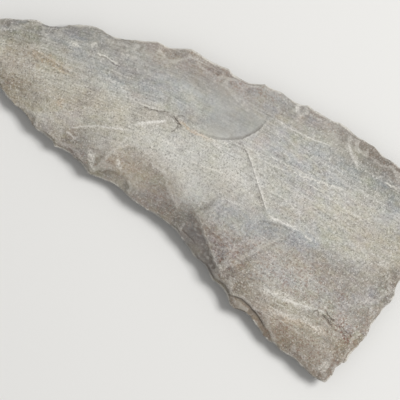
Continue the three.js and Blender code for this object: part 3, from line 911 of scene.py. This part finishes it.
# The stone's colours, each laid over those before it: where it lies, the colour, the pattern that
# breaks it up, where in that pattern it begins and is full, and its share at both. Where it lies is a
# zone, a kind of line, or one of these: edge and rim, at the blade's edge and on it; quiet, all over but
# less in the smooth zones; lined, like quiet but more in the ruled zones; stained, rose and tan together
ground_colour = "#99968b"
coats = [
    ("everywhere", "#a9a89e", "streak", 0.35, 0.65, 0, 1),
    ("sand", "#b4a77d", "blotch", 0.3, 0.65, 0.35, 0.8),
    ("rose", "#988278", "blotch", 0.35, 0.65, 0.35, 0.85),
    ("bleached", "#cccac3", "blotch", 0.25, 0.6, 0.45, 0.95),
    ("blue", "#778999", "blotch", 0.3, 0.65, 0.15, 0.4),
    ("slate", "#676c74", "streak", 0.3, 0.65, 0.4, 0.75),
    ("tan", "#8d7860", "blotch", 0.3, 0.65, 0.35, 0.65),
    ("dull", "#776e63", "blotch", 0.3, 0.65, 0.25, 0.5),
    ("quiet", "#b09a78", "broad_warmth", 0.5, 0.7, 0, 0.5),
    ("quiet", "#8e959f", "broad_warmth", 0.5, 0.3, 0, 0.56),
    ("quiet", "#a3a582", "broad_green", 0.52, 0.7, 0, 0.58),
    ("quiet", "#a3949c", "broad_green", 0.48, 0.3, 0, 0.46),
    ("quiet", "#b09a78", "small_warmth", 0.5, 0.7, 0, 0.225),
    ("quiet", "#8e959f", "small_warmth", 0.5, 0.3, 0, 0.252),
    ("quiet", "#a3a582", "small_green", 0.52, 0.7, 0, 0.261),
    ("quiet", "#a3949c", "small_green", 0.48, 0.3, 0, 0.207),
    ("quiet", "#cbc7bb", "blotch", 0.52, 0.7, 0, 0.55),
    ("quiet", "#7a756f", "blotch", 0.46, 0.28, 0, 0.56),
    ("lined", "#cfcbc2", "band", 0.54, 0.7, 0, 0.46),
    ("lined", "#75716c", "band", 0.46, 0.3, 0, 0.46),
    ("lined", "#dad7cf", "hair", 0.55, 0.7, 0, 0.36),
    ("lined", "#6f6b67", "hair", 0.45, 0.3, 0, 0.34),
    ("bleached", "#dcd9d0", "none", 0, 1, 0, 0.15),
    ("dull", "#6a6258", "none", 0, 1, 0, 0.18),
    ("sand", "#bfa06a", "none", 0, 1, 0, 0.06),
    ("olive", "#b3b790", "none", 0, 1, 0, 0.08),
    ("blue", "#738da2", "none", 0, 1, 0, 0.06),
    ("edge", "#81766d", "fleck", 0.35, 0.65, 0.12, 0.5),
    ("stained", "#7f5b49", "rust", 0.52, 0.7, 0, 0.24),
    ("rusty", "#6f4838", "rust", 0.45, 0.62, 0, 0.65),
    # Painted highlight along the very edge
    ("rim", "#d8d4ca", "blotch", 0.3, 0.55, 0.3, 0.95),
    ("ochre", "#c49f72", "grain", 0.35, 0.6, 0.2, 0.75),
    ("pale", "#e6e2d8", "grain", 0.35, 0.55, 0.3, 0.9),
    # Darker in the hollows as painted crease shade with dirt, paler on convex bends as wear
    ("everywhere", "#d3cfc6", "bend", -0.2, -1, 0, 0.3),
    ("everywhere", "#6a625a", "bend", 0.2, 1, 0, 0.35),
    ("lined", "#e9e6de", "thread", 0.56, 0.74, 0, 0.22),
    ("lined", "#57524d", "thread", 0.44, 0.27, 0, 0.3),
    ("quiet", "#ece9e2", "grain", 0.55, 0.72, 0, 0.28),
    ("quiet", "#4f4a45", "grain", 0.45, 0.28, 0, 0.4),
    ("quiet", "#3f3a36", "speck", 0.42, 0.27, 0, 0.4),
    ("quiet", "#f2efe8", "crystal", 0.66, 0.9, 0, 0.32),
    ("quiet", "#4a4642", "crystal", 0.34, 0.1, 0, 0.42),
    # Pale crests: rubbed wear on the arrises and painted highlights on the lit lips of scarps
    ("crest_wear_and_highlight", "#f4f1ea", "grain", 0.36, 0.56, 0.3, 1),
    # Dark feet of scarps: painted crease shade with some dirt
    ("foot_shade_and_dirt", "#4a433c", "none", 0, 1, 0, 0.8),
    ("slit", "#46332a", "speck", 0.3, 0.55, 0.9, 0.4),
]

calm_share = 0.25  # what the smooth zones leave of the fine patterns
bed_shares = (0.4, 1.2)  # of the beds' patterns, outside the ruled zones and in them

# How a line's colour is worn: how far it strays either way, where it is full and where it ends, in its
# widths, then where in the blotches it is broken and whole, and its share where it is broken
line_stray = 0.7
line_full = 0.2
line_end = 1.5
line_breaks = (0.3, 0.5)
broken_share = 0.45

# How far the fine patterns stand up in the surface, in millimetres
quiet_relief = [("grain", 0.12), ("speck", 0.06), ("hair", 0.06)]
band_relief = 0.12
slit_depth = 0.15

stone_roughness = (0.78, 0.9)
stone_refraction = 1.54


def add(tree, kind, inputs=None, **settings):
    """Adds a node with its settings, its inputs given as values or as the outputs that feed them."""
    made = tree.nodes.new("ShaderNode" + kind)
    for name, value in settings.items():
        setattr(made, name, value)
    for name, value in (inputs or {}).items():
        if isinstance(value, bpy.types.NodeSocket):
            tree.links.new(value, made.inputs[name])
        else:
            made.inputs[name].default_value = value
    return made


def ramp(tree, value, begins, ends, low=0, high=1):
    """A value drawn from one range to another, and held between that one's ends."""
    settings = {"Value": value, "From Min": begins, "From Max": ends, "To Min": low, "To Max": high}
    return add(tree, "MapRange", settings).outputs["Result"]


def reckoned(tree, operation, *values):
    """The result of one operation on values or outputs."""
    return add(tree, "Math", dict(enumerate(values)), operation=operation).outputs[0]


def kept(tree, name):
    """One of the values that the mesh keeps for the material."""
    return add(tree, "Attribute", attribute_name=name).outputs["Fac"]


def fine_patterns(tree):
    """All the patterns that break up the stone's colours, by name."""
    place = add(tree, "TexCoord").outputs["Object"]
    sized = add(tree, "Mapping", {"Vector": place, "Scale": (1 / MM, 1 / MM, 1 / MM)}).outputs["Vector"]
    noises = {}
    for name, (length, detail, roughness) in plain_noises.items():
        settings = {"Vector": sized, "Scale": 1 / length, "Detail": detail, "Roughness": roughness}
        noises[name] = add(tree, "TexNoise", settings).outputs

    middle = (0.5, 0.5, 0.5)
    sway = add(tree, "VectorMath", {0: noises["sway"]["Color"], 1: middle}, operation="SUBTRACT").outputs[0]
    strain = add(tree, "VectorMath", {0: sway, "Scale": sway_size}, operation="SCALE").outputs[0]
    beds = add(tree, "Attribute", attribute_name="beds").outputs["Vector"]
    strained = add(tree, "VectorMath", {0: beds, 1: strain}, operation="ADD").outputs[0]
    for name, (length, thickness, depth, detail, roughness) in bedded_noises.items():
        scale = (1 / length, 1 / thickness, 1 / depth)
        drawn = add(tree, "Mapping", {"Vector": strained, "Scale": scale}).outputs["Vector"]
        settings = {"Vector": drawn, "Scale": 1, "Detail": detail, "Roughness": roughness}
        noises[name] = add(tree, "TexNoise", settings).outputs

    patterns = {name: outputs["Fac"] for name, outputs in noises.items()}
    for size in ("broad", "small"):
        hues = add(tree, "SeparateColor", {"Color": noises[size + "_hues"]["Color"]}).outputs
        patterns[size + "_warmth"] = hues["Red"]
        patterns[size + "_green"] = hues["Green"]
    crystals = add(tree, "TexVoronoi", {"Vector": sized, "Scale": 1 / crystal_size})
    patterns["crystal"] = crystals.outputs["Color"]
    patterns["bend"] = kept(tree, "bend")
    patterns["none"] = 1
    return patterns


def worn_line(tree, name, patterns):
    """How strongly one kind of line shows: ragged, straying and broken, as a worn line is."""
    stray = ramp(tree, patterns["fleck"], *noise_ends, -line_stray, line_stray)
    strayed = reckoned(tree, "ADD", kept(tree, name + "_gap"), stray)
    near = ramp(tree, reckoned(tree, "ABSOLUTE", strayed), line_end, line_full)
    drawn = reckoned(tree, "MULTIPLY", near, kept(tree, name + "_strength"))
    unbroken = ramp(tree, patterns["blotch"], *line_breaks, broken_share, 1)
    return reckoned(tree, "MULTIPLY", drawn, unbroken)


def chert():
    """Weathered banded chert, a flinty stone that was struck into shape and lay long in the ground.

    It gives the eye fine beds of pale grey, tan and blue-grey under a bleached, dull skin without gloss,
    with paler crests where it is rubbed, painted highlights on lit lips and along the very edge, and
    painted shade in creases, at the feet of scarps and on bared facets.
    """
    material = bpy.data.materials.new("weathered_banded_chert")
    material.use_nodes = True
    tree = material.node_tree
    surface = tree.nodes["Principled BSDF"]

    patterns = fine_patterns(tree)
    spread = {name: kept(tree, name) for name in (*zones, "edge", "rim")}
    for name in lines:
        spread[name] = worn_line(tree, name, patterns)
    quiet = ramp(tree, spread["smooth"], 0, 1, 1, calm_share)
    spread["everywhere"] = 1
    spread["quiet"] = quiet
    spread["lined"] = reckoned(tree, "MULTIPLY", quiet, ramp(tree, spread["ruled"], 0, 1, *bed_shares))
    spread["stained"] = reckoned(tree, "ADD", spread["rose"], spread["tan"])

    base = colour(ground_colour)
    for where, code, pattern, begins, full, least, most in coats:
        share = ramp(tree, patterns[pattern], begins, full, least, most)
        factor = reckoned(tree, "MULTIPLY", spread[where], share)
        colours = {"Factor": factor, colour_a: base, colour_b: colour(code)}
        base = add(tree, "Mix", colours, data_type="RGBA").outputs[colour_out]
    tree.links.new(base, surface.inputs["Base Color"])

    surface.inputs["IOR"].default_value = stone_refraction
    roughness = ramp(tree, patterns["cloud"], *noise_ends, *stone_roughness)
    tree.links.new(roughness, surface.inputs["Roughness"])

    height = 0
    for pattern, size in quiet_relief:
        height = reckoned(tree, "MULTIPLY_ADD", patterns[pattern], size, height)
    height = reckoned(tree, "MULTIPLY", height, quiet)
    height = reckoned(tree, "MULTIPLY_ADD", patterns["band"], band_relief, height)
    height = reckoned(tree, "MULTIPLY_ADD", spread["slit"], -slit_depth, height)
    bump = add(tree, "Bump", {"Height": height, "Strength": 1, "Distance": MM})
    tree.links.new(bump.outputs["Normal"], surface.inputs["Normal"])
    return material


blade.data.materials.append(chert())

# Floor

floor_reach = 3  # metres
paper_roughness = 0.9
floor_mesh = bpy.data.meshes.new("floor")
floor_shape = bmesh.new()
bmesh.ops.create_grid(floor_shape, x_segments=1, y_segments=1, size=floor_reach)
floor_shape.to_mesh(floor_mesh)
floor_shape.free()
floor = bpy.data.objects.new("floor", floor_mesh)
bpy.context.scene.collection.objects.link(floor)


def matt_paper():
    """Matt paper: even and without a shine, pale to the camera and greyer to the blade."""
    material = bpy.data.materials.new("matt_paper")
    material.use_nodes = True
    tree = material.node_tree
    surface = tree.nodes["Principled BSDF"]
    surface.inputs["Roughness"].default_value = paper_roughness
    looked_at = add(tree, "LightPath").outputs["Is Camera Ray"]
    tones = {"Factor": looked_at, colour_a: colour("#8f8e8c"), colour_b: colour("#e4e3e0")}
    tone = add(tree, "Mix", tones, data_type="RGBA").outputs[colour_out]
    tree.links.new(tone, surface.inputs["Base Color"])
    return material


floor.data.materials.append(matt_paper())

# Camera, straight above the blade and turned as in the photograph

camera_height = 1.2  # metres over the blade's edge
sensor_width = 36  # millimetres
view_width = photo_side * pixel_step
camera_data = bpy.data.cameras.new("camera")
camera_data.sensor_width = sensor_width
camera_data.lens = sensor_width * camera_height / view_width
camera = bpy.data.objects.new("camera", camera_data)
bpy.context.scene.collection.objects.link(camera)
bpy.context.scene.camera = camera
centre = on_blade((photo_side / 2, photo_side / 2))
camera.location = (centre[0], centre[1], edge_level + camera_height)
camera.rotation_euler = (0, 0, photo_tilt)

# Light: a soft key from the picture's right and a plain sky

key_place = (0.57, 0.55, 1.02)  # metres
key_width = 0.45
key_power = 13.9  # watts
sky_light = 0.38  # what the sky gives, next to how it looks to the camera and in a shine

key_data = bpy.data.lights.new("key", "AREA")
key_data.size = key_width
key_data.energy = key_power
key = bpy.data.objects.new("key", key_data)
bpy.context.scene.collection.objects.link(key)
key.location = key_place
key.rotation_euler = Vector(key_place).to_track_quat("Z", "Y").to_euler()

world = bpy.data.worlds.new("studio")
bpy.context.scene.world = world
world.use_nodes = True
sky = world.node_tree
background = sky.nodes["Background"]
background.inputs["Color"].default_value = (1, 1, 1, 1)
rays = add(sky, "LightPath").outputs
seen = reckoned(sky, "MAXIMUM", rays["Is Camera Ray"], rays["Is Glossy Ray"])
sky.links.new(ramp(sky, seen, 0, 1, sky_light, 1), background.inputs["Strength"])

bpy.context.scene.view_settings.view_transform = "Standard"
